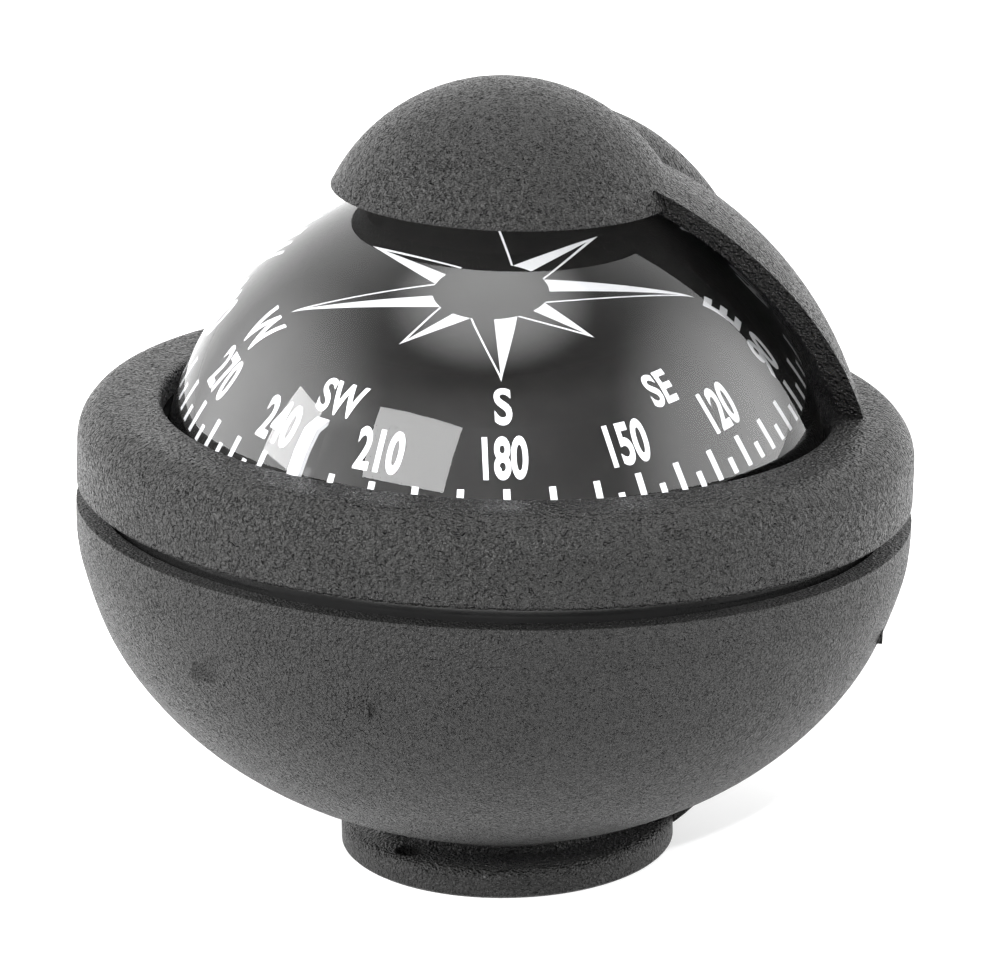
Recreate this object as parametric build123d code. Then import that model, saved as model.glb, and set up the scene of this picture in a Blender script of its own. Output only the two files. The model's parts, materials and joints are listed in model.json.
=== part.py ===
from build123d import *
from math import acos, atan, cos, degrees, radians, sin, sqrt
import os

# Small-boat dome compass on a tilting foot, in millimetres.
# Origin: centre of the foot's underside. +Z is up and the lubber line faces -Y.
# The housing is drawn upright on the Z axis, then pitched nose-up about the tilt axis.
# The gimballed card group is drawn about the dome centre and stays level.

# ---- driving dimensions ------------------------------------------------------------
REST_PITCH = 3.9          # nose-up pitch of the housing on its foot, degrees
TILT_LIMIT = 10.0         # pitch either way from level that the slot allows, degrees
RIM_R = 50.0              # outer radius of bowl and bezel
RIM_Z = 43.4              # top face of the bowl and centre of the dome
BOWL_DEPTH = 39.7         # semi-axis of the bowl's elliptical section below the rim
SEAT_R = 20.7             # radius out to which the bowl's underside is spherical
WALL = 2.6                # bowl wall
GAP_Z = 2.2               # open groove between bowl and bezel
BEZEL_TOP = 56.0          # flat top of the bezel
SHOULDER_R, SHOULDER_Z = 4.6, 5.2     # rounded outer shoulder of the bezel
OPENING_R = 40.0          # bezel opening round the dome
DOME_R, DOME_WALL = 40.4, 2.2
HOOD_IN, HOOD_OUT = 42.6, 45.4        # rear fairing, a spherical shell about the dome centre
KEEL_R, KEEL_HALF = 49.1, 6.6         # raised keel along the fairing's middle
CAP_R, CAP_WALL, CAP_LIFT = 22.7, 2.5, 29.2   # visor cap and its height over the dome centre
CAP_RIM_Z = 82.2
EDGE_NORMAL = (-0.292, 0.834, 0.468)  # plane of the fairing's front edge, +X side
EDGE_OFFSET = 18.4
SLOT_HALF = 2.9           # half width of the tilt slot
FOOT_R, FOOT_H, BOSS_R = 20.2, 3.5, 15.0
LINER = 0.6
PLAY = 0.3                # gap between surfaces that slide past each other
FLANGE_R = 44.4           # shared outer radius of the sealed capsule's flanges
RING_IN, RING_OUT = 44.7, 46.5        # neck ring wall
SCREW_PCD_R, SCREWS = 42.7, 8
CAPSULE_R, CAPSULE_WALL = 38.4, 1.8
CAPSULE_FLOOR = 25.2
BLOCK_LOW, BLOCK_HIGH, BLOCK_R = 15.2, 22.4, 13.0
ROD_R, ROD_PLAY = 1.5, 0.06
ROD_EW_Z, ROD_NS_Z = 17.1, 20.6
PIN_R = 0.8
CARD_FLAT, CARD_ARC, CARD_TOP = 17.9, 7.8, 20.4     # flat top, shoulder arc, height over centre
CARD_SLOPE, CARD_SKIRT = 55.7, 10.5   # slope of the conical skirt in degrees, and its length
CARD_T = 0.8
BOLT_R = 2.45
NIB_AZIMUTH, NIB_RADIUS, NIB_HALF = 10.4, 46.7, 12.05   # snap blocks, first one from the front
NIB_LOW, NIB_HIGH = RIM_Z - 12.2, RIM_Z - 7.6
SHELF_LOW, SHELF_HIGH = RIM_Z - 4.6, RIM_Z - 2.6        # shelf inside the neck ring
ACCESS_R = 2.6            # screwdriver holes in the bowl, in line with the adjuster rods
GROMMET_X, GROMMET_Z = 12.0, 26.0
GROMMET_R, GROMMET_FLANGE, CABLE_R = 2.95, 4.4, 1.6
FLANGE_T = 2.0            # flange of the dome, and the ring that clamps it
HOLE_R, DIAPHRAGM_R = 9.0, 12.0
PLUG_Y = 17.6             # filler plug, behind the diaphragm
LUBBER_HALF = 0.8         # half thickness of the lubber fin
LUBBER_REACH = 31.7       # inner edge of the fin from the dome centre, clear of the card's sweep
PILLAR_IN, PILLAR_OUT = 24.5, 27.5    # gimbal pillars, inside the card's skirt at any tilt
GIMBAL_IN, GIMBAL_OUT, GIMBAL_H = 20.6, 23.2, 1.5
RUN = 0.05                # running clearance of the small pins
EARS = [(12.4, 12.4), (-12.4, -12.4)]   # screw positions of the compensator block
FIXING_R, FIXING_HOLE = 17.6, 1.7
SHOE_TOP, WASHER_T, NUT_T, NUT_FLATS = 8.4, 0.6, 2.6, 8.0

# ---- derived -----------------------------------------------------------------------
_ratio = SEAT_R / RIM_R
_slope = BOWL_DEPTH / RIM_R * _ratio / sqrt(1 - _ratio**2)
SEAT_ANGLE = atan(_slope)
SEAT_SPHERE = SEAT_R / sin(SEAT_ANGLE)
TILT_Z = RIM_Z - BOWL_DEPTH * sqrt(1 - _ratio**2) + SEAT_SPHERE * cos(SEAT_ANGLE)
TILT_AXIS = Axis((0, 0, TILT_Z), (1, 0, 0))
LIP_Z = RIM_Z + GAP_Z
TAB_LOW, TAB_HIGH = LIP_Z + 1.4, LIP_Z + 2.8
DOME_LOW = RIM_Z - 0.2
LAMP_LOW = RIM_Z + CAP_LIFT + CAP_R - CAP_WALL - 5.2
_pitch = radians(REST_PITCH)
CENTRE = Vector(0, (RIM_Z - TILT_Z) * sin(_pitch), TILT_Z + (RIM_Z - TILT_Z) * cos(_pitch))


# ---- helpers -----------------------------------------------------------------------
def turned(points, axis=Axis.Z):
    """Solid of revolution of a closed polygon of (radius, height) points."""
    return revolve(Plane.XZ * make_face(Polyline(*points, close=True)), axis)


def disc(radius, low, high, x=0, y=0):
    return Pos(x, y, (low + high) / 2) * Cylinder(radius, high - low)


def ring(inner, outer, low, high):
    return disc(outer, low, high) - disc(inner, low - 1, high + 1)


def block(x0, x1, y0, y1, z0, z1):
    return Pos((x0 + x1) / 2, (y0 + y1) / 2, (z0 + z1) / 2) * Box(x1 - x0, y1 - y0, z1 - z0)


def rod_x(radius, x0, x1, z, y=0):
    return Pos((x0 + x1) / 2, y, z) * Rot(0, 90, 0) * Cylinder(radius, x1 - x0)


def rod_y(radius, y0, y1, z, x=0):
    return Pos(x, (y0 + y1) / 2, z) * Rot(90, 0, 0) * Cylinder(radius, y1 - y0)


def round_about(shape, count, first=0.0):
    return [Rot(0, 0, first + 360 / count * i) * shape for i in range(count)]


def from_front(azimuth):
    """Turns a shape drawn towards -Y to an azimuth counted towards +X."""
    return Rot(0, 0, azimuth)


def save(name, shape):
    solids = shape.solids()
    export_step(solids[0] if len(solids) == 1 else Compound(children=solids), f"parts/{name}.step")


def save_housing(name, shape):
    save(name, shape.rotate(TILT_AXIS, -REST_PITCH))


def save_level(name, shape):
    save(name, Pos(*CENTRE) * shape)


# ---- bowl --------------------------------------------------------------------------
def bowl_solid(inset):
    """The bowl's outline, drawn in by inset: a spherical seat that runs into half an ellipse."""
    sphere = SEAT_SPHERE - inset
    edge_r = sphere * sin(SEAT_ANGLE)
    edge_z = TILT_Z - sphere * cos(SEAT_ANGLE)
    rim = RIM_R - inset
    depth = (RIM_Z - edge_z) / sqrt(1 - (edge_r / rim) ** 2)
    half = SEAT_ANGLE / 2
    seat = ThreePointArc(
        (0, TILT_Z - sphere), (sphere * sin(half), TILT_Z - sphere * cos(half)), (edge_r, edge_z)
    )
    first = degrees(acos(edge_r / rim))
    turns = [radians(first * (1 - i / 6)) for i in range(7)]
    flank = Spline(
        [(rim * cos(t), RIM_Z - depth * sin(t)) for t in turns],
        tangents=[(cos(SEAT_ANGLE), sin(SEAT_ANGLE)), (0, 1)],
    )
    close = Polyline((rim, RIM_Z), (0, RIM_Z), (0, TILT_Z - sphere))
    return revolve(Plane.XZ * make_face([seat, flank, close]), Axis.Z)


def outer_bowl():
    shell = bowl_solid(0) - bowl_solid(WALL)
    shell -= disc(RING_OUT + PLAY, RIM_Z - 7.4, RIM_Z + 1)
    blocks = block(-NIB_HALF, NIB_HALF, -NIB_RADIUS, -42.0, NIB_LOW, NIB_HIGH)
    for azimuth in (0, 120, 240):
        shell += from_front(NIB_AZIMUTH + azimuth) * blocks
    reach = SEAT_SPHERE * sin(radians(TILT_LIMIT)) + SLOT_HALF
    shell -= block(-SLOT_HALF, SLOT_HALF, -reach, reach, 0, 12)
    shell -= rod_x(ACCESS_R, -RIM_R, -28, ROD_EW_Z)
    shell -= rod_y(ACCESS_R, 30, RIM_R, ROD_NS_Z)
    return shell - rod_y(GROMMET_R + RUN, 30, RIM_R, GROMMET_Z, GROMMET_X)


def cable_grommet():
    """Rubber grommet whose flange follows the bowl's wall, 1.2 mm proud of it."""
    flange = rod_y(GROMMET_FLANGE, 36, RIM_R, GROMMET_Z, GROMMET_X) & bowl_solid(-1.2)
    plug = rod_y(GROMMET_R, 36, RIM_R, GROMMET_Z, GROMMET_X) & bowl_solid(-0.6)
    body = flange - bowl_solid(0) + plug
    return body - rod_y(CABLE_R, 30, RIM_R, GROMMET_Z, GROMMET_X)


# ---- neck ring and bezel -----------------------------------------------------------
def neck_ring():
    body = ring(RING_IN, RING_OUT, RIM_Z - 7.0, LIP_Z + 4.2)
    body += ring(CAPSULE_R + 0.8, RING_IN + 0.5, SHELF_LOW, SHELF_HIGH)
    hook = block(-5, 5, -41.7, -40.1, RIM_Z - 14.2, SHELF_LOW + 0.5)
    hook += block(-5, 5, -43.4, -40.9, RIM_Z - 14.2, RIM_Z - 12.5)
    tab = block(-4, 4, -RING_OUT - 0.6, -RING_OUT + 1.2, TAB_LOW, TAB_HIGH)
    for azimuth in (0, 120, 240):
        body += from_front(NIB_AZIMUTH + azimuth) * (hook + tab)
    for hole in screw_shape(0.95, SHELF_LOW + 0.4, SHELF_HIGH + 1):
        body -= hole
    return body


def screw_shape(radius, low, high):
    return round_about(disc(radius, low, high, x=SCREW_PCD_R), SCREWS, 22.5)


def bezel_ring():
    start = (RIM_R, BEZEL_TOP - SHOULDER_Z)
    end = (RIM_R - SHOULDER_R, BEZEL_TOP)
    middle = (
        RIM_R - SHOULDER_R + SHOULDER_R * cos(radians(45)),
        BEZEL_TOP - SHOULDER_Z + SHOULDER_Z * sin(radians(45)),
    )
    socket = RING_OUT + PLAY
    section = [
        Polyline((RIM_R - 0.4, LIP_Z), (RIM_R, LIP_Z + 0.4), start),
        Spline([start, middle, end], tangents=[(0, 1), (-1, 0)]),
        Line(end, (OPENING_R + 1, BEZEL_TOP)),
        ThreePointArc(
            (OPENING_R + 1, BEZEL_TOP),
            (OPENING_R + 1 - sin(radians(45)), BEZEL_TOP - 1 + cos(radians(45))),
            (OPENING_R, BEZEL_TOP - 1),
        ),
        Polyline(
            (OPENING_R, BEZEL_TOP - 1),
            (OPENING_R, BEZEL_TOP - 2.8),
            (RING_IN - 0.3, BEZEL_TOP - 2.8),
            (RING_IN - 0.3, LIP_Z + 4.6),
            (socket, LIP_Z + 4.6),
            (socket, LIP_Z),
            (RIM_R - 0.4, LIP_Z),
        ),
    ]
    return revolve(Plane.XZ * make_face(section), Axis.Z)


def rear_of_edges():
    """Everything behind the two slanting front-edge planes of the fairing."""
    size = 200
    behind = block(-size, size, -size, size, BEZEL_TOP - 2, size)
    for side in (1, -1):
        normal = Vector(EDGE_NORMAL[0] * side, EDGE_NORMAL[1], EDGE_NORMAL[2])
        point = Vector(0, 0, RIM_Z) + normal.normalized() * EDGE_OFFSET
        plane = Plane(origin=point, z_dir=normal)
        behind &= plane * Pos(0, 0, size) * Box(4 * size, 4 * size, 2 * size)
    return behind


def hooded_bezel():
    middle = Pos(0, 0, RIM_Z)
    cap_middle = Pos(0, 0, RIM_Z + CAP_LIFT)
    behind = rear_of_edges()
    shell = (middle * Sphere(HOOD_OUT) - middle * Sphere(HOOD_IN)) & behind
    keel_face = make_face(
        [
            ThreePointArc((-KEEL_HALF, HOOD_OUT - 0.7), (0, KEEL_R), (KEEL_HALF, HOOD_OUT - 0.7)),
            Polyline(
                (KEEL_HALF, HOOD_OUT - 0.7),
                (KEEL_HALF, HOOD_IN + 0.4),
                (-KEEL_HALF, HOOD_IN + 0.4),
                (-KEEL_HALF, HOOD_OUT - 0.7),
            ),
        ]
    )
    keel = middle * revolve(Plane.XY * keel_face, Axis.X) & behind
    keel -= disc(RIM_R + 20, 0, BEZEL_TOP - 2)
    hood = shell + keel
    cap = cap_middle * Sphere(CAP_R) - disc(RIM_R, 0, CAP_RIM_Z)
    hood = hood + cap - cap_middle * Sphere(CAP_R - CAP_WALL)
    bezel = bezel_ring() + (hood - middle * Sphere(HOOD_IN))
    groove = middle * Rot(0, 90, 0) * Cylinder(HOOD_IN + 1.4, 2.2)
    bezel -= groove & block(-2, 2, 10, RIM_R, BEZEL_TOP - 4, CAP_RIM_Z + 6)
    pocket = block(-4.3, 4.3, -RING_OUT - 1, -RING_OUT + 1, TAB_LOW - PLAY, TAB_HIGH + PLAY)
    for azimuth in (0, 120, 240):
        bezel -= from_front(NIB_AZIMUTH + azimuth) * pocket
    return bezel


# ---- sealed capsule ----------------------------------------------------------------
def dome_half(radius):
    return Pos(0, 0, RIM_Z) * Sphere(radius) & disc(RIM_R, RIM_Z, RIM_Z + RIM_R)


def dome_window():
    dome = dome_half(DOME_R) + disc(FLANGE_R, DOME_LOW, DOME_LOW + FLANGE_T)
    dome -= dome_half(DOME_R - DOME_WALL) + disc(DOME_R - DOME_WALL, DOME_LOW - 1, RIM_Z)
    for hole in screw_shape(1.05, DOME_LOW - 1, DOME_LOW + FLANGE_T + 1):
        dome -= hole
    return dome


def clamp_ring():
    body = ring(DOME_R + 0.5, FLANGE_R, DOME_LOW + FLANGE_T, DOME_LOW + 2 * FLANGE_T)
    for hole in screw_shape(1.05, RIM_Z, RIM_Z + 10):
        body -= hole
    return body


def capsule_screws():
    top = DOME_LOW + 2 * FLANGE_T
    shanks = screw_shape(0.95, SHELF_LOW + 0.4, top)
    heads = screw_shape(1.6, top, top + 1.2)
    sockets = screw_shape(0.7, top + 0.5, top + 2)
    return Compound(children=[(s + h - k).solid() for s, h, k in zip(shanks, heads, sockets)])


def gasket():
    return ring(39.2, 40.8, RIM_Z - 1.2, DOME_LOW)


def capsule_bowl():
    wall, low = CAPSULE_WALL, CAPSULE_FLOOR
    inner = CAPSULE_R - wall
    body = turned(
        [
            (0, low), (24, low), (CAPSULE_R, 32), (CAPSULE_R, SHELF_HIGH), (FLANGE_R, SHELF_HIGH),
            (FLANGE_R, RIM_Z - 0.4), (inner, RIM_Z - 0.4), (inner, 33.2), (23.4, low + wall),
            (0, low + wall),
        ]
    )
    for turn in (0, 180):
        pillar = block(PILLAR_IN, PILLAR_OUT, -2.6, 2.6, low + wall, RIM_Z + 1.6)
        bore = rod_x(PIN_R + 0.02, 20, 31, RIM_Z)
        body += Rot(0, 0, turn) * (pillar - bore)
    body -= ring(39.2, 40.8, RIM_Z - 1.2, RIM_Z + 1)
    body -= disc(HOLE_R, low - 1, low + wall + 1)
    body -= disc(2.0, low - 1, low + wall + 1, y=PLUG_Y)
    for x, y in EARS:
        body -= disc(1.2, low - 1, low + 1.3, x, y)
    for hole in screw_shape(1.05, RIM_Z - 6, RIM_Z + 1):
        body -= hole
    return body


def diaphragm():
    """Rubber disc with one raised bead, which takes up the liquid's expansion."""
    low = CAPSULE_FLOOR - 1.0
    return disc(DIAPHRAGM_R, low, CAPSULE_FLOOR) + ring(5.0, 7.0, low + 0.8, low + 2.0)


def diaphragm_cap():
    low = CAPSULE_FLOOR - 2.4
    body = disc(DIAPHRAGM_R + 0.5, low, low + 1.4) - disc(8.4, low + 0.6, low + 2)
    body -= disc(1.0, low - 1, low + 2)
    return body


def fill_plug():
    low = CAPSULE_FLOOR
    return disc(1.95, low - 0.8, low + 1.6, y=PLUG_Y) + disc(2.8, low - 1.8, low - 0.8, y=PLUG_Y)


def fill_plug_seal():
    low = CAPSULE_FLOOR - 0.8
    return disc(2.8, low, low + 0.8, y=PLUG_Y) - disc(1.95, low - 1, low + 2, y=PLUG_Y)


def fin_edge(dy, dz):
    """Front edge of the lubber fin in the YZ plane about the dome centre, moved by (dy, dz)."""
    points = [(-34.6, -3.4), (-34.6, 9.0), (-32.4, 12.6), (-30.6, 14.6), (-28.1, 15.1)]
    return [(y + dy, z + dz) for y, z in points]


def fin_slice(front, back):
    """Plate of the fin's thickness between two edges, given as (y, z) points."""
    outline = Polyline(*front, *reversed(back), close=True)
    plate = extrude(Plane.YZ * make_face(outline), LUBBER_HALF, both=True)
    return Pos(0, 0, RIM_Z) * plate


def lubber_bracket():
    """Black fin behind the white line, with a foot on the capsule's wall."""
    inner_edge = [(-30.0, -3.9), (-27.0, 15.1)]
    fin = fin_slice(fin_edge(0.8, -0.5), inner_edge) - Pos(0, 0, RIM_Z) * Sphere(LUBBER_REACH)
    foot = block(-3.3, 3.3, -36.8, -32.4, RIM_Z - 6, RIM_Z - 3.9)
    return (fin + foot) & disc(CAPSULE_R - CAPSULE_WALL, 0, RIM_Z + RIM_R)


def lubber_line():
    """White strip along the fin's front edge, bent inward at the top."""
    strip = fin_slice(fin_edge(0, 0), fin_edge(0.8, -0.5))
    return strip - Pos(0, 0, RIM_Z) * Sphere(LUBBER_REACH)


def gimbal_outer_pins():
    return Compound(children=[rod_x(PIN_R, 21.2, 27.2, RIM_Z), rod_x(PIN_R, -27.2, -21.2, RIM_Z)])


# ---- gimbal and card, drawn about the dome centre ------------------------------------
def gimbal_ring():
    body = ring(GIMBAL_IN, GIMBAL_OUT, -GIMBAL_H, GIMBAL_H)
    for bore in (rod_x(PIN_R + RUN, -30, 30, 0), rod_y(PIN_R + 0.02, -30, 30, 0)):
        body -= bore
    return body


def gimbal_inner_pins():
    return Compound(children=[rod_y(PIN_R, 17.0, 22.8, 0), rod_y(PIN_R, -22.8, -17.0, 0)])


def pivot_carrier():
    bar = block(-2.0, 2.0, -19.9, 19.9, -1.4, 1.4)
    body = bar + disc(4.0, -3.0, 3.0) + disc(1.6, -12.2, 9.5)
    for side in (1, -1):
        low, high = sorted((15.0 * side, 21.0 * side))
        body -= rod_y(PIN_R + RUN, low, high, 0)
    return body - disc(0.62, 5.0, 10.0)


def counterweight():
    return ring(1.62, 7.6, -12.2, -6.0)


def pivot_needle():
    tip = turned([(0, 12.6), (0.6, 12.6), (0.12, 14.6), (0, 14.7)])
    return disc(0.6, 5.2, 12.7) + tip


def card_profile(drop, skirt):
    """Card outline lowered by drop: flat top, shoulder arc and conical skirt of that length."""
    slope = radians(CARD_SLOPE)
    arc_r, base = CARD_ARC - drop, CARD_TOP - CARD_ARC
    start = (CARD_FLAT, CARD_TOP - drop)
    middle = (CARD_FLAT + arc_r * sin(slope / 2), base + arc_r * cos(slope / 2))
    turn = (CARD_FLAT + arc_r * sin(slope), base + arc_r * cos(slope))
    end = (turn[0] + skirt * cos(slope), turn[1] - skirt * sin(slope))
    face = make_face(
        [
            Line((0, CARD_TOP - drop), start),
            ThreePointArc(start, middle, turn),
            Polyline(turn, end, (0, end[1]), (0, CARD_TOP - drop)),
        ]
    )
    return revolve(Plane.XZ * face, Axis.Z)


def compass_card():
    return card_profile(0, CARD_SKIRT) - card_profile(CARD_T, CARD_SKIRT + 2)


def card_float():
    return ring(2.6, 11.0, 12.6, CARD_TOP - CARD_T)


def card_magnets():
    bars = [block(x - 1.1, x + 1.1, -9, 9, 10.8, 12.6) for x in (-5.4, 5.4)]
    return Compound(children=bars)


def jewel_cup():
    body = disc(1.8, 13.6, CARD_TOP - CARD_T)
    seat = turned([(0, 13.0), (1.3, 13.0), (1.3, 13.6), (0.2, 15.0), (0, 15.0)])
    return body - seat


# ---- compensator -------------------------------------------------------------------
def compensator_block():
    body = disc(BLOCK_R, BLOCK_LOW, BLOCK_HIGH)
    for x, y in EARS:
        body += Pos(x, y, 0) * Rot(0, 0, 45) * block(-8.0, 8.0, -3.0, 3.0, BLOCK_HIGH - 3, BLOCK_HIGH)
        body += disc(2.6, BLOCK_HIGH - 3, CAPSULE_FLOOR, x, y)
    for x, y in EARS:
        body -= disc(1.25, 0, CAPSULE_FLOOR + 1, x, y)
    body -= rod_x(ROD_R + ROD_PLAY, -30, 30, ROD_EW_Z)
    return body - rod_y(ROD_R + ROD_PLAY, -30, 30, ROD_NS_Z)


def compensator_screws():
    low = BLOCK_HIGH - 3
    screws = []
    for x, y in EARS:
        shank = disc(1.15, low, CAPSULE_FLOOR + 1.2, x, y)
        screws.append((shank + disc(2.2, low - 1.2, low, x, y)).solid())
    return Compound(children=screws)


def compensator_rod(reach):
    """Adjuster along +X from the block out to its screwdriver slot."""
    body = rod_x(ROD_R, -BLOCK_R - 1.6, reach, 0) + rod_x(2.3, BLOCK_R + 0.3, BLOCK_R + 1.5, 0)
    body -= Cylinder(0.8, 10)
    return body - block(reach - 1.0, reach + 1, -3, 3, -0.35, 0.35)


def rod_magnet():
    return Cylinder(0.8, 2.5)


def rod_clip():
    return rod_x(2.5, -BLOCK_R - 1.1, -BLOCK_R - 0.3, 0) - rod_x(ROD_R, -20, 20, 0)


EW_PLACE = Pos(0, 0, ROD_EW_Z) * Rot(0, 0, 180)
NS_PLACE = Pos(0, 0, ROD_NS_Z) * Rot(0, 0, 90)


# ---- lamp under the visor cap --------------------------------------------------------
def lamp_housing():
    return disc(4.5, LAMP_LOW, LAMP_LOW + 4.6) - disc(2.6, LAMP_LOW - 1, LAMP_LOW + 3.0)


def lamp_lens():
    body = disc(2.55, LAMP_LOW, LAMP_LOW + 0.8)
    return body + (Pos(0, 0, LAMP_LOW + 0.6) * Sphere(2.0) & disc(3, LAMP_LOW - 2, LAMP_LOW + 0.2))


def lamp_led():
    return disc(1.5, LAMP_LOW + 0.8, LAMP_LOW + 3.0)


# ---- foot and tilt clamp -------------------------------------------------------------
def seat_sphere(gap):
    return Pos(0, 0, TILT_Z) * Sphere(SEAT_SPHERE + gap)


def rear_apron():
    """Flared lip that rises behind the foot to back the bowl."""
    flare = turned(
        [
            (14.0, 1.2), (FOOT_R - 0.6, 1.2), (FOOT_R + 0.3, 1.7), (21.6, 2.6), (23.2, 4.1),
            (25.0, 6.2), (25.3, 7.0), (24.6, 9.0), (14.0, 9.0),
        ]
    )
    wedge = make_face(Polyline((0, 0), (-60, 50.3), (0, 60), (60, 50.3), close=True))
    return flare & extrude(wedge, 20)


def foot_base():
    plate = disc(FOOT_R, 0, FOOT_H)
    plate = fillet(plate.edges().group_by(Axis.Z)[-1], 1.2)
    plate = chamfer(plate.edges().group_by(Axis.Z)[0], 0.3)
    body = plate + disc(BOSS_R, 0, 7) + rear_apron()
    body -= seat_sphere(PLAY + LINER)
    body -= disc(BOLT_R + 0.15, -1, 10)
    body -= disc(6.2, -1, 1.6)
    for hole in round_about(disc(FIXING_HOLE, -1, 12, y=-FIXING_R), 3):
        body -= hole
    return body


def seat_liner():
    shell = (seat_sphere(PLAY + LINER) - seat_sphere(PLAY)) & disc(BOSS_R, 0, 8)
    return shell - disc(BOLT_R + 0.35, -1, 10)


def clamp_bolt():
    return disc(6.0, 0.3, 1.6) + disc(BOLT_R, 1.6, SHOE_TOP + WASHER_T + NUT_T + 0.4)


def clamp_shoe():
    body = disc(9.0, 5, SHOE_TOP) & seat_sphere(-WALL - PLAY)
    return body - disc(BOLT_R + 0.15, 0, 12)


def clamp_washer():
    return ring(BOLT_R + 0.1, 4.6, SHOE_TOP, SHOE_TOP + WASHER_T)


def clamp_nut():
    low = SHOE_TOP + WASHER_T
    hexagon = extrude(Pos(0, 0, low) * RegularPolygon(NUT_FLATS / sqrt(3), 6), NUT_T)
    return hexagon - disc(BOLT_R, 0, 20)


# ---- write every piece ---------------------------------------------------------------
HOUSING = {
    "outer_bowl": outer_bowl(),
    "cable_grommet": cable_grommet(),
    "neck_ring": neck_ring(),
    "hooded_bezel": hooded_bezel(),
    "dome_window": dome_window(),
    "clamp_ring": clamp_ring(),
    "capsule_screws": capsule_screws(),
    "dome_gasket": gasket(),
    "capsule_bowl": capsule_bowl(),
    "diaphragm": diaphragm(),
    "diaphragm_cap": diaphragm_cap(),
    "fill_plug": fill_plug(),
    "fill_plug_seal": fill_plug_seal(),
    "lubber_bracket": lubber_bracket(),
    "lubber_line": lubber_line(),
    "gimbal_outer_pins": gimbal_outer_pins(),
    "compensator_block": compensator_block(),
    "compensator_screws": compensator_screws(),
    "compensator_rod_ew": EW_PLACE * compensator_rod(29.0),
    "compensator_magnet_ew": EW_PLACE * rod_magnet(),
    "compensator_clip_ew": EW_PLACE * rod_clip(),
    "compensator_rod_ns": NS_PLACE * compensator_rod(33.0),
    "compensator_magnet_ns": NS_PLACE * rod_magnet(),
    "compensator_clip_ns": NS_PLACE * rod_clip(),
    "lamp_housing": lamp_housing(),
    "lamp_lens": lamp_lens(),
    "lamp_led": lamp_led(),
}
LEVEL = {
    "gimbal_ring": gimbal_ring(),
    "gimbal_inner_pins": gimbal_inner_pins(),
    "pivot_carrier": pivot_carrier(),
    "counterweight": counterweight(),
    "pivot_needle": pivot_needle(),
    "compass_card": compass_card(),
    "card_float": card_float(),
    "card_magnets": card_magnets(),
    "jewel_cup": jewel_cup(),
}
FOOT = {
    "foot_base": foot_base(),
    "seat_liner": seat_liner(),
    "clamp_bolt": clamp_bolt(),
    "clamp_shoe": clamp_shoe(),
    "clamp_washer": clamp_washer(),
    "clamp_nut": clamp_nut(),
}
for name, shape in HOUSING.items():
    save_housing(name, shape)
for name, shape in LEVEL.items():
    save_level(name, shape)
for name, shape in FOOT.items():
    save(name, shape)

print("tilt axis height", round(TILT_Z, 3), "seat sphere", round(SEAT_SPHERE, 3))
print("dome centre", tuple(round(v, 3) for v in CENTRE))
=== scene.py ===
import json
from math import atan2, cos, pi, radians, sin, sqrt

import bmesh
import bpy
from mathutils import Matrix, Vector


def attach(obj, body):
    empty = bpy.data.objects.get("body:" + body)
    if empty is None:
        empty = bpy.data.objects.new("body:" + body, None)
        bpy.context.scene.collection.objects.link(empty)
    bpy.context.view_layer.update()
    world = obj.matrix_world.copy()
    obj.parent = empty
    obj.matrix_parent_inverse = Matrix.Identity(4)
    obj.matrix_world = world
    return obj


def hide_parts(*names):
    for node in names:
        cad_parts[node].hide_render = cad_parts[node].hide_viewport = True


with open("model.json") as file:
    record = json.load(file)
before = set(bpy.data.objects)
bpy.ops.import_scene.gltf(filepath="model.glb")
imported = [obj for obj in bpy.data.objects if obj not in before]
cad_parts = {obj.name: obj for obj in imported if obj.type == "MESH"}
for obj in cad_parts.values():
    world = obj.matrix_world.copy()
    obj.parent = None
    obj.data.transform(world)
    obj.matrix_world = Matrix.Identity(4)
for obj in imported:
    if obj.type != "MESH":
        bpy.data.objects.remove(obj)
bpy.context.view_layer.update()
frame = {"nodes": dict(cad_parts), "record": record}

MM = 0.001
# ---- camera ----------------------------------------------------------------------
VIEW_AZIMUTH, VIEW_ELEVATION, VIEW_ROLL = 42.0, 19.46, -0.88
VIEW_DISTANCE = 0.8
LENS = 240.2
AIM = Vector((0, 0, 45 * MM))
AIM_RIGHT, AIM_UP = -0.245 * MM, 0.648 * MM
SENSOR = 36.0
CLIP_NEAR, CLIP_FAR = 0.05, 20.0

# ---- light: azimuth from -Y towards +X and elevation, in degrees ---------------------
LAMP_AWAY = 0.9
SKY = 1.9
GLOWS = [                     # azimuth, elevation, radius, amount added to the sky
    (54, 54, 90, -1.84),      # dark above the viewer
    (222, 88, 30, 6.8),       # overhead, which shows as the glow on the card's middle
    (134, 10, 46, 4.2),       # bright sides
    (-50, 10, 50, 3.8),
]
FLOOR_HALF, FLOOR_Z, FLOOR_GLOW = 3.0, -0.05 * MM, 0.45

# ---- sizes that the CAD model also has, in metres ----------------------------------
PITCH = 3.9
TILT_Z = 64.584 * MM
RIM_Z = 43.4 * MM
DOME_R = 40.4 * MM
FLANGE_R, FLANGE_LOW, FLANGE_HIGH = 44.4 * MM, 43.2 * MM, 45.2 * MM
LIQUID_R, LIQUID_FLOOR = 37.5 * MM, 26.1 * MM
LIQUID_SHOULDER_Z, LIQUID_FLOOR_R = 32.6 * MM, 23.7 * MM
LIQUID_IOR = 1.42
DOME_STEPS, DOME_ROUND = 72, 256
CENTRE = Vector((0, -1.441 * MM, 43.449 * MM))

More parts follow.
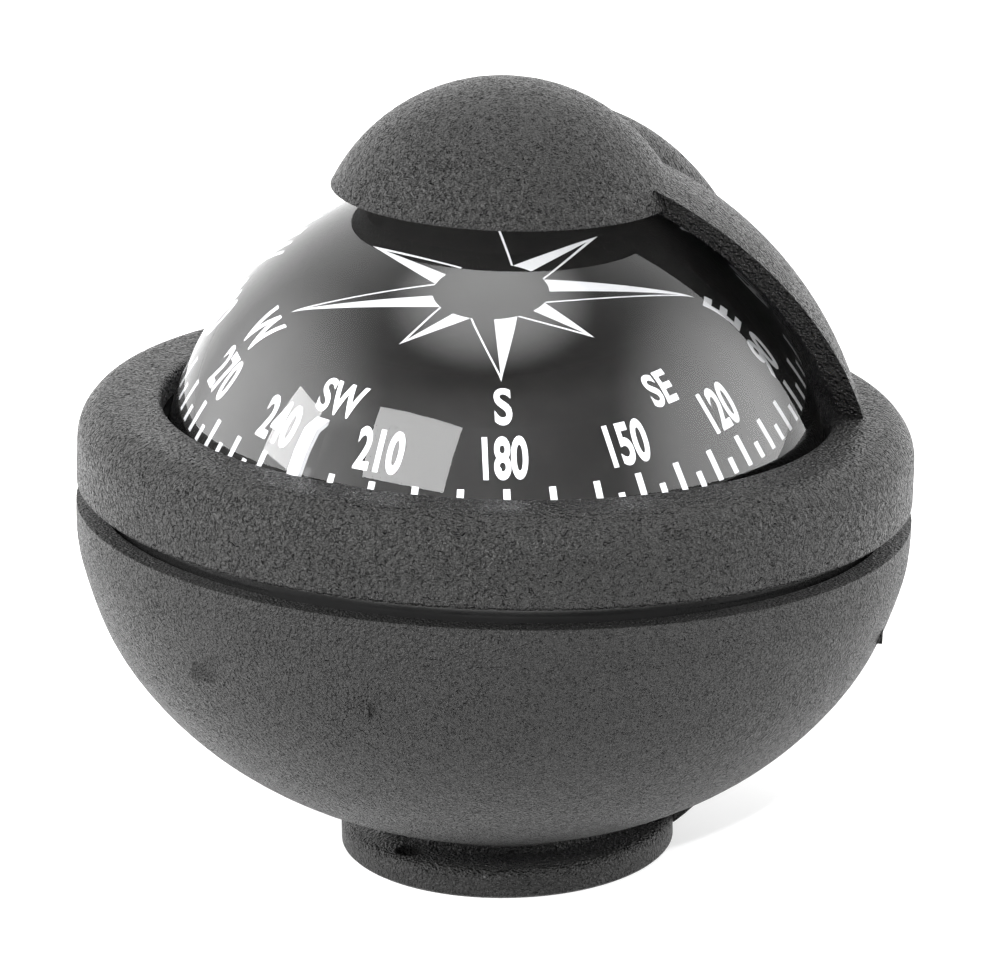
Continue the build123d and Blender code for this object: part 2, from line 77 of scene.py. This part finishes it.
# Card outline: flat top, shoulder arc, conical skirt.
CARD_FLAT, CARD_ARC, CARD_TOP = 17.9 * MM, 7.8 * MM, 20.4 * MM
CARD_SLOPE = radians(55.7)
PRINT_LIFT, PRINT_THICK, PRINT_STEP = 0.03 * MM, 0.03 * MM, 0.7 * MM
SOUTH_AZIMUTH = 44.8      # where the S mark faces, from -Y towards +X, in degrees

# Print bands, as distances along the card's surface from its middle.
HUB_R = 5.4 * MM
LONG_TIP, SHORT_TIP = 19.5 * MM, 13.7 * MM
LONG_HALF, SHORT_HALF = 2.3 * MM, 1.9 * MM
STAR_LINE, STAR_NOTCH = 0.2 * MM, 1.2 * MM
MAJOR_AT, MAJOR_HIGH = 22.9 * MM, 4.6 * MM
MINOR_AT, MINOR_HIGH = 24.2 * MM, 3.9 * MM
LETTER_SQUEEZE, LETTER_WEIGHT = 0.70, 0.026
NUMBER_AT, NUMBER_HIGH = 28.8 * MM, 4.8 * MM
NUMBER_SQUEEZE, NUMBER_WEIGHT = 0.58, 0.030
TICK_IN, TICK_SHORT_IN, TICK_OUT = 32.2 * MM, 33.9 * MM, 35.7 * MM
TICK_WIDE = 0.75 * MM

housing_turn = (
    Matrix.Translation((0, 0, TILT_Z))
    @ Matrix.Rotation(radians(-PITCH), 4, "X")
    @ Matrix.Translation((0, 0, -TILT_Z))
)


# ---- material helpers --------------------------------------------------------------
class Nodes:
    """A new material's node tree, with a shader and short calls that add and link nodes."""

    def __init__(self, name):
        self.material = bpy.data.materials.new(name)
        self.material.use_nodes = True
        self.tree = self.material.node_tree
        self.shader = self.tree.nodes["Principled BSDF"]
        self.output = self.tree.nodes["Material Output"]
        self.place = self.add("ShaderNodeTexCoord").outputs["Object"]

    def add(self, kind, **values):
        node = self.tree.nodes.new(kind)
        for name, value in values.items():
            setattr(node, name, value)
        return node

    def link(self, a, b):
        self.tree.links.new(a, b)

    def noise(self, scale, detail=3.0, rough=0.5):
        node = self.add("ShaderNodeTexNoise")
        node.inputs["Scale"].default_value = scale
        node.inputs["Detail"].default_value = detail
        node.inputs["Roughness"].default_value = rough
        self.link(self.place, node.inputs["Vector"])
        return node.outputs["Fac"]

    def cells(self, scale):
        node = self.add("ShaderNodeTexVoronoi", feature="SMOOTH_F1")
        node.inputs["Scale"].default_value = scale
        self.link(self.place, node.inputs["Vector"])
        return node.outputs["Distance"]

    def span(self, value, low, high):
        """A value from 0 to 1, mapped to low to high."""
        node = self.add("ShaderNodeMapRange")
        node.inputs["To Min"].default_value = low
        node.inputs["To Max"].default_value = high
        self.link(value, node.inputs["Value"])
        return node.outputs["Result"]

    def bump(self, height, distance, below=None):
        node = self.add("ShaderNodeBump")
        node.inputs["Distance"].default_value = distance
        node.inputs["Strength"].default_value = 1.0
        self.link(height, node.inputs["Height"])
        if below is not None:
            self.link(below, node.inputs["Normal"])
        return node.outputs["Normal"]

    def edge(self, radius):
        node = self.add("ShaderNodeBevel", samples=4)
        node.inputs["Radius"].default_value = radius
        return node.outputs["Normal"]

    def tint(self, value, dark, light):
        node = self.add("ShaderNodeValToRGB")
        node.color_ramp.elements[0].color = (*dark, 1)
        node.color_ramp.elements[1].color = (*light, 1)
        self.link(value, node.inputs["Fac"])
        self.link(node.outputs["Color"], self.shader.inputs["Base Color"])

    def finish(self, rough, normal):
        self.link(rough, self.shader.inputs["Roughness"])
        self.link(normal, self.shader.inputs["Normal"])
        return self.material


# ---- materials -----------------------------------------------------------------------
def grained_plastic(name, grain, depth, rough):
    """Black moulded plastic with a pebbled grain: grain is its noise scale, depth its height."""
    m = Nodes(name)
    m.shader.inputs["Specular IOR Level"].default_value = 0.27
    m.tint(m.noise(grain * 0.8, 3), (0.007, 0.007, 0.007), (0.019, 0.0185, 0.018))
    coarse = m.bump(m.noise(grain, 3, 0.55), depth, below=m.edge(0.5 * MM))
    fine = m.bump(m.cells(grain * 1.9), depth * 0.45, below=coarse)
    return m.finish(m.span(m.noise(grain * 0.6), rough - 0.08, rough + 0.10), fine)


def smooth_plastic():
    """Glossy black plastic with faint flow marks."""
    m = Nodes("gloss_black")
    m.tint(m.noise(90, 3), (0.012, 0.012, 0.012), (0.018, 0.018, 0.018))
    normal = m.bump(m.noise(420, 3), 0.012 * MM, below=m.edge(0.2 * MM))
    return m.finish(m.span(m.noise(260), 0.12, 0.23), normal)


def card_face():
    """Satin black card with a very fine grain."""
    m = Nodes("card_black")
    m.shader.inputs["Specular IOR Level"].default_value = 0.12
    m.tint(m.noise(500, 3), (0.006, 0.006, 0.006), (0.011, 0.0105, 0.010))
    normal = m.bump(m.noise(3500, 2), 0.002 * MM)
    return m.finish(m.span(m.noise(700), 0.42, 0.55), normal)


def white_ink(name):
    """Matt white, slightly cool."""
    m = Nodes(name)
    m.tint(m.noise(900, 3), (0.56, 0.57, 0.59), (0.64, 0.64, 0.65))
    normal = m.bump(m.noise(5200, 2), 0.004 * MM)
    return m.finish(m.span(m.noise(1500), 0.42, 0.58), normal)


def metal(name, dark, light, rough, stretch):
    """Turned or brushed metal: noise drawn out along one direction."""
    m = Nodes(name)
    m.shader.inputs["Metallic"].default_value = 1.0
    shape = m.add("ShaderNodeMapping")
    shape.inputs["Scale"].default_value = stretch
    m.link(m.place, shape.inputs["Vector"])
    lines = m.add("ShaderNodeTexNoise")
    lines.inputs["Scale"].default_value = 300
    m.link(shape.outputs["Vector"], lines.inputs["Vector"])
    m.tint(m.noise(260, 3), dark, light)
    normal = m.bump(lines.outputs["Fac"], 0.01 * MM, below=m.edge(0.1 * MM))
    return m.finish(m.span(lines.outputs["Fac"], rough - 0.08, rough + 0.12), normal)


def rubber():
    m = Nodes("rubber_black")
    m.tint(m.noise(300, 4), (0.018, 0.018, 0.018), (0.032, 0.031, 0.030))
    normal = m.bump(m.noise(2600, 3), 0.02 * MM, below=m.edge(0.2 * MM))
    return m.finish(m.span(m.noise(500), 0.68, 0.86), normal)


def red_plastic():
    m = Nodes("lamp_red")
    m.shader.inputs["Coat Weight"].default_value = 0.3
    m.tint(m.noise(200, 3), (0.30, 0.012, 0.012), (0.46, 0.02, 0.02))
    normal = m.bump(m.noise(1200, 3), 0.01 * MM)
    return m.finish(m.span(m.noise(600), 0.14, 0.26), normal)


def liquid_glass():
    """Clear dome with the liquid behind it. Shadow rays pass, so that lamps light the card."""
    m = Nodes("clear_dome")
    m.shader.inputs["Base Color"].default_value = (0.97, 0.975, 0.98, 1)
    m.shader.inputs["Transmission Weight"].default_value = 1.0
    m.shader.inputs["IOR"].default_value = LIQUID_IOR
    m.shader.inputs["Roughness"].default_value = 0.0
    m.link(m.bump(m.noise(60, 2), 0.002 * MM), m.shader.inputs["Normal"])
    clear = m.add("ShaderNodeBsdfTransparent")
    clear.inputs["Color"].default_value = (0.93, 0.93, 0.93, 1)
    mix = m.add("ShaderNodeMixShader")
    m.link(m.add("ShaderNodeLightPath").outputs["Is Shadow Ray"], mix.inputs["Fac"])
    m.link(m.shader.outputs["BSDF"], mix.inputs[1])
    m.link(clear.outputs["BSDF"], mix.inputs[2])
    m.link(mix.outputs["Shader"], m.output.inputs["Surface"])
    return m.material


def floor_paper():
    """White paper lit a little from below, as on a light table."""
    m = Nodes("floor_paper")
    m.shader.inputs["Emission Color"].default_value = (1, 1, 1, 1)
    m.shader.inputs["Emission Strength"].default_value = FLOOR_GLOW
    m.tint(m.noise(3, 2), (0.62, 0.62, 0.62), (0.64, 0.64, 0.64))
    return m.finish(m.span(m.noise(4), 0.85, 0.95), m.bump(m.noise(900), 0.01 * MM))


# ---- card print ------------------------------------------------------------------------
def on_card(across, along, bearing, lift):
    """Point on the card: along from its middle, across to one side of a bearing."""
    if along <= CARD_FLAT:
        radius, height, tilt = along, CARD_TOP, 0.0
    elif along <= CARD_FLAT + CARD_ARC * CARD_SLOPE:
        tilt = (along - CARD_FLAT) / CARD_ARC
        radius = CARD_FLAT + CARD_ARC * sin(tilt)
        height = CARD_TOP - CARD_ARC + CARD_ARC * cos(tilt)
    else:
        tilt = CARD_SLOPE
        past = along - CARD_FLAT - CARD_ARC * CARD_SLOPE
        radius = CARD_FLAT + CARD_ARC * sin(tilt) + past * cos(tilt)
        height = CARD_TOP - CARD_ARC + CARD_ARC * cos(tilt) - past * sin(tilt)
    azimuth = radians(SOUTH_AZIMUTH + 180 - bearing) + across / max(radius, 1 * MM)
    radius += lift * sin(tilt)
    height += lift * cos(tilt)
    return CENTRE + Vector((radius * sin(azimuth), -radius * cos(azimuth), height))


def slice_flat(bm, step):
    """Cuts a flat drawing along a square grid, so that it can follow a curved surface."""
    for axis in (0, 1):
        places = [v.co[axis] for v in bm.verts]
        cut = (int(min(places) / step) - 1) * step
        while cut < max(places):
            origin = [0.0, 0.0, 0.0]
            normal = [0.0, 0.0, 0.0]
            origin[axis], normal[axis] = cut, 1.0
            bmesh.ops.bisect_plane(
                bm, geom=bm.verts[:] + bm.edges[:] + bm.faces[:], plane_co=origin, plane_no=normal
            )
            cut += step


def wrap(bm, place):
    """Gives a flat drawing (x across, y outward) its two skins and side walls on the card."""
    bmesh.ops.remove_doubles(bm, verts=bm.verts[:], dist=1e-7)
    bmesh.ops.triangulate(bm, faces=bm.faces[:])
    slice_flat(bm, PRINT_STEP)
    flat = [v.co.copy() for v in bm.verts]
    faces = [[v.index for v in f.verts] for f in bm.faces]
    rim = [[v.index for v in e.verts] for e in bm.edges if len(e.link_faces) == 1]
    lower = [place(p.x, p.y, PRINT_LIFT) for p in flat]
    upper = [place(p.x, p.y, PRINT_LIFT + PRINT_THICK) for p in flat]
    count = len(flat)
    sides = [[a, b, b + count, a + count] for a, b in rim]
    under = [list(reversed(f)) for f in faces]
    over = [[i + count for i in f] for f in faces]
    return lower + upper, under + over + sides


def gather(name, drawings, ink):
    """One mesh piece on the card from (flat drawing, placing function) pairs."""
    verts, faces = [], []
    for bm, place in drawings:
        more, parts = wrap(bm, place)
        faces += [[i + len(verts) for i in f] for f in parts]
        verts += more
        bm.free()
    mesh = bpy.data.meshes.new(name)
    mesh.from_pydata(verts, [], faces)
    mesh.validate()
    bm = bmesh.new()
    bm.from_mesh(mesh)
    bmesh.ops.recalc_face_normals(bm, faces=bm.faces[:])
    bm.to_mesh(mesh)
    bm.free()
    piece = bpy.data.objects.new(name, mesh)
    bpy.context.scene.collection.objects.link(piece)
    mesh.materials.append(ink)
    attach(piece, "card")


def polygon(points):
    bm = bmesh.new()
    bm.faces.new([bm.verts.new((x, y, 0)) for x, y in points])
    bm.verts.index_update()
    return bm


def lettering(text, high, squeeze, weight):
    """Flat text, centred, with its top towards the card's middle."""
    curve = bpy.data.curves.new("lettering", "FONT")
    curve.body, curve.align_x, curve.align_y = text, "CENTER", "CENTER"
    curve.offset = weight
    curve.resolution_u = 6
    holder = bpy.data.objects.new("lettering", curve)
    bpy.context.scene.collection.objects.link(holder)
    bpy.context.view_layer.update()
    graph = bpy.context.evaluated_depsgraph_get()
    mesh = bpy.data.meshes.new_from_object(holder.evaluated_get(graph))
    bm = bmesh.new()
    bm.from_mesh(mesh)
    bpy.data.objects.remove(holder)
    bpy.data.curves.remove(curve)
    xs, ys = [v.co.x for v in bm.verts], [v.co.y for v in bm.verts]
    middle = Vector(((min(xs) + max(xs)) / 2, (min(ys) + max(ys)) / 2, 0))
    size = high / (max(ys) - min(ys))
    for v in bm.verts:
        flat = v.co - middle
        v.co = Vector((flat.x * size * squeeze, -flat.y * size, 0))
    bm.verts.index_update()
    return bm


def at_bearing(bearing, along=0.0):
    """Placing function for a drawing at a bearing, moved out along the card."""
    return lambda x, y, lift: on_card(x, along + y, bearing, lift)


def ticks():
    """A long tick every ten degrees, a short one between."""
    drawn, half = [], TICK_WIDE / 2
    for bearing in range(0, 360, 5):
        start = TICK_IN if bearing % 10 == 0 else TICK_SHORT_IN
        points = [(-half, start), (half, start), (half, TICK_OUT), (-half, TICK_OUT)]
        drawn.append((polygon(points), at_bearing(bearing)))
    return drawn


def numbers():
    """The bearing in degrees, every thirty degrees."""
    drawn = []
    for bearing in range(0, 360, 30):
        text = lettering(str(bearing), NUMBER_HIGH, NUMBER_SQUEEZE, NUMBER_WEIGHT)
        drawn.append((text, at_bearing(bearing, NUMBER_AT)))
    return drawn


def letters():
    """The eight points' letters: N, E, S and W are larger and nearer the middle."""
    drawn = []
    for i, text in enumerate(["N", "NE", "E", "SE", "S", "SW", "W", "NW"]):
        major = i % 2 == 0
        high, along = (MAJOR_HIGH, MAJOR_AT) if major else (MINOR_HIGH, MINOR_AT)
        flat = lettering(text, high, LETTER_SQUEEZE, LETTER_WEIGHT)
        drawn.append((flat, at_bearing(45 * i, along)))
    return drawn


def star():
    """Eight points round a plain hub: one half is outlined, the other filled, except on N, whose
    filled half is left out as painted shade from the visor.
    """
    drawn = []
    for i in range(8):
        tip, wide = (LONG_TIP, LONG_HALF) if i % 2 == 0 else (SHORT_TIP, SHORT_HALF)
        outline = [(-wide, HUB_R), (-wide + STAR_LINE, HUB_R), (0, tip - STAR_NOTCH), (0, tip)]
        drawn.append((polygon(outline), at_bearing(45 * i)))
        # painted shade: the N point gets no filled half, so the black card shows there as under
        # the visor's shade
        if i > 0:
            filled = [(0, HUB_R), (wide, HUB_R), (0, tip)]
            drawn.append((polygon(filled), at_bearing(45 * i)))
    return drawn


# ---- dome ----------------------------------------------------------------------------
def dome_with_liquid(clear):
    """One clear body: the dome, its flange and the liquid down to the capsule's floor."""
    arc_end = sqrt(DOME_R**2 - (FLANGE_HIGH - RIM_Z) ** 2)
    last = atan2(FLANGE_HIGH - RIM_Z, arc_end)
    turns = [pi / 2 - (pi / 2 - last) * i / DOME_STEPS for i in range(1, DOME_STEPS + 1)]
    outline = [(DOME_R * cos(t), RIM_Z + DOME_R * sin(t)) for t in turns]
    outline += [
        (FLANGE_R, FLANGE_HIGH), (FLANGE_R, FLANGE_LOW), (LIQUID_R, FLANGE_LOW),
        (LIQUID_R, LIQUID_SHOULDER_Z), (LIQUID_FLOOR_R, LIQUID_FLOOR),
    ]
    bm = bmesh.new()
    top = bm.verts.new((0, 0, RIM_Z + DOME_R))
    base = bm.verts.new((0, 0, LIQUID_FLOOR))
    rings = []
    for r, z in outline:
        spots = [2 * pi * i / DOME_ROUND for i in range(DOME_ROUND)]
        rings.append([bm.verts.new((r * cos(a), r * sin(a), z)) for a in spots])
    for i in range(DOME_ROUND):
        j = (i + 1) % DOME_ROUND
        bm.faces.new((top, rings[0][i], rings[0][j]))
        bm.faces.new((base, rings[-1][j], rings[-1][i]))
        for upper, lower in zip(rings, rings[1:]):
            bm.faces.new((upper[i], lower[i], lower[j], upper[j]))
    bmesh.ops.recalc_face_normals(bm, faces=bm.faces[:])
    bm.transform(housing_turn)
    for face in bm.faces:
        face.smooth = True
    for edge in bm.edges:
        edge.smooth = edge.calc_face_angle(0) < radians(30)
    mesh = bpy.data.meshes.new("liquid_filled_dome")
    bm.to_mesh(mesh)
    bm.free()
    mesh.materials.append(clear)
    piece = bpy.data.objects.new("liquid_filled_dome", mesh)
    bpy.context.scene.collection.objects.link(piece)
    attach(piece, "housing")
    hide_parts("dome_window")


# ---- stage, lights and camera ----------------------------------------------------------
def floor():
    mesh = bpy.data.meshes.new("floor")
    half = FLOOR_HALF
    square = [(-half, -half), (half, -half), (half, half), (-half, half)]
    corners = [(x, y, FLOOR_Z) for x, y in square]
    mesh.from_pydata(corners, [], [(0, 1, 2, 3)])
    mesh.materials.append(floor_paper())
    plane = bpy.data.objects.new("floor", mesh)
    bpy.context.scene.collection.objects.link(plane)


def lamp(name, azimuth, elevation, wide, high, power, shape="RECTANGLE"):
    """Soft lamp that faces the dome from an azimuth (from -Y towards +X) and elevation."""
    data = bpy.data.lights.new(name, "AREA")
    data.shape, data.size, data.size_y, data.energy = shape, wide, high, power
    light = bpy.data.objects.new(name, data)
    back = toward(azimuth, elevation)
    light.location = CENTRE + back * LAMP_AWAY
    light.rotation_euler = (-back).to_track_quat("-Z", "Y").to_euler()
    bpy.context.scene.collection.objects.link(light)


def toward(azimuth, elevation):
    """Unit vector from the dome towards an azimuth (from -Y towards +X) and elevation."""
    a, e = radians(azimuth), radians(elevation)
    return Vector((sin(a) * cos(e), -cos(a) * cos(e), sin(e)))


def sky(strength, glows):
    """Even light with soft round glows (azimuth, elevation, radius in degrees, amount)."""
    world = bpy.data.worlds.new("studio")
    world.use_nodes = True
    tree = world.node_tree
    place = tree.nodes.new("ShaderNodeTexCoord").outputs["Generated"]
    total = None
    for azimuth, elevation, radius, amount in glows:
        dot = tree.nodes.new("ShaderNodeVectorMath")
        dot.operation = "DOT_PRODUCT"
        dot.inputs[1].default_value = toward(azimuth, elevation)
        tree.links.new(place, dot.inputs[0])
        fade = tree.nodes.new("ShaderNodeMapRange")
        fade.interpolation_type = "SMOOTHSTEP"
        fade.inputs["From Min"].default_value = cos(radians(radius))
        fade.inputs["To Max"].default_value = amount
        tree.links.new(dot.outputs["Value"], fade.inputs["Value"])
        add = tree.nodes.new("ShaderNodeMath")
        add.inputs[1].default_value = strength
        tree.links.new(fade.outputs["Result"], add.inputs[0])
        if total is not None:
            tree.links.new(total, add.inputs[1])
        total = add.outputs["Value"]
    tree.links.new(total, tree.nodes["Background"].inputs["Strength"])
    tree.nodes["Background"].inputs["Color"].default_value = (1, 1, 1, 1)
    bpy.context.scene.world = world


def camera():
    """The photograph's camera: its direction, distance, lens and roll."""
    roll = radians(VIEW_ROLL)
    back = toward(VIEW_AZIMUTH, VIEW_ELEVATION)
    level = toward(VIEW_AZIMUTH + 90, 0)
    above = back.cross(level)
    right = cos(roll) * level + sin(roll) * above
    up = -sin(roll) * level + cos(roll) * above
    data = bpy.data.cameras.new("camera")
    data.lens, data.sensor_width = LENS, SENSOR
    data.clip_start, data.clip_end = CLIP_NEAR, CLIP_FAR
    cam = bpy.data.objects.new("camera", data)
    turn = Matrix((right, up, back)).transposed().to_4x4()
    place = AIM + right * AIM_RIGHT + up * AIM_UP + back * VIEW_DISTANCE
    cam.matrix_world = Matrix.Translation(place) @ turn
    bpy.context.scene.collection.objects.link(cam)
    bpy.context.scene.camera = cam


# ---- everything together -----------------------------------------------------------------
ink = white_ink("white_ink")
clear_dome = liquid_glass()
slot_material = {
    "gloss_black": smooth_plastic(),
    "clear_acrylic": clear_dome,
    "card_black": card_face(),
    "white_plastic": white_ink("white_plastic"),
    "lamp_red": red_plastic(),
    "rubber": rubber(),
    "brass": metal("brass", (0.66, 0.47, 0.20), (0.80, 0.62, 0.30), 0.28, (1, 1, 18)),
    "steel": metal("steel", (0.50, 0.50, 0.52), (0.66, 0.66, 0.68), 0.30, (1, 1, 14)),
    "magnet": metal("magnet", (0.30, 0.30, 0.32), (0.42, 0.42, 0.44), 0.34, (1, 12, 1)),
}
textured = {
    "hooded_bezel": grained_plastic("bezel_black", 1500, 2.3 * MM, 0.33),
    "outer_bowl": grained_plastic("bowl_black", 2000, 1.5 * MM, 0.36),
    "foot_base": grained_plastic("foot_black", 2000, 1.2 * MM, 0.36),
}
slots = {part["node"]: part["material_slot"] for part in frame["record"]["subparts"]}
for name, node in frame["nodes"].items():
    finish = textured.get(name) or slot_material[slots[name]]
    if not node.material_slots:
        node.data.materials.append(None)
    for holder in node.material_slots:
        holder.material = finish

dome_with_liquid(clear_dome)
gather("card_ticks", ticks(), ink)
gather("card_numbers", numbers(), ink)
gather("card_letters", letters(), ink)
gather("card_star", star(), ink)

floor()
sky(SKY, GLOWS)
lamp("window", 9, 34, 0.46, 0.36, 6.6)
lamp("soft_window", -41, 24, 0.22, 0.30, 3.0)
lamp("flash", 44, 30, 0.03, 0.03, 6.0, shape="DISK")
bpy.context.scene.view_settings.view_transform = "Standard"
camera()
